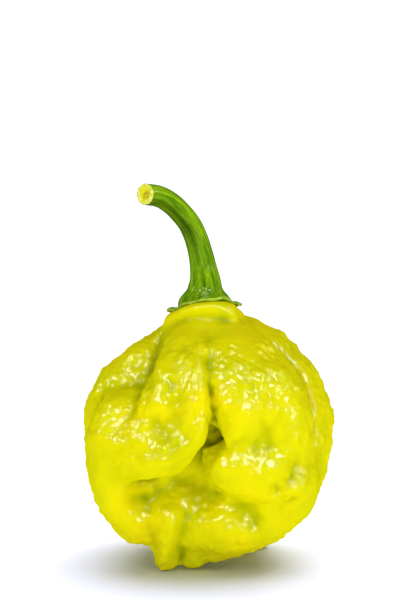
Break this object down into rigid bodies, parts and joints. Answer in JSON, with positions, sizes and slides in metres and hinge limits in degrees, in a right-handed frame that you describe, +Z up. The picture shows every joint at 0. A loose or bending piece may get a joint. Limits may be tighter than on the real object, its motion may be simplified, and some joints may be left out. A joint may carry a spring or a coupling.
{
  "type": "chilli pepper",
  "caption": "Ripe yellow hot chilli pepper with a folded, warty pod, a pointed tail, a thin green calyx and a bent ribbed stem, standing on its tail end.",
  "frame": {"origin": "middle of the whole pepper's bounding box, on the plane that it stands on", "axes": "+Z up towards the stem, -Y towards the viewer of the picture, where the tongue-like fold is, +X to the viewer's right"},
  "size_m": [0.0402, 0.0388, 0.0615],
  "materials": {
    "pod_skin": "waxy, wet-looking ripe pepper skin",
    "calyx_green": "soft green leaf tissue, paler at the rim",
    "stem_green": "satin green stalk with fine light streaks"
  },
  "bodies": {
    "root": {"pod": "pod_skin", "calyx": "calyx_green", "stem": "stem_green"}
  },
  "joints": []
}
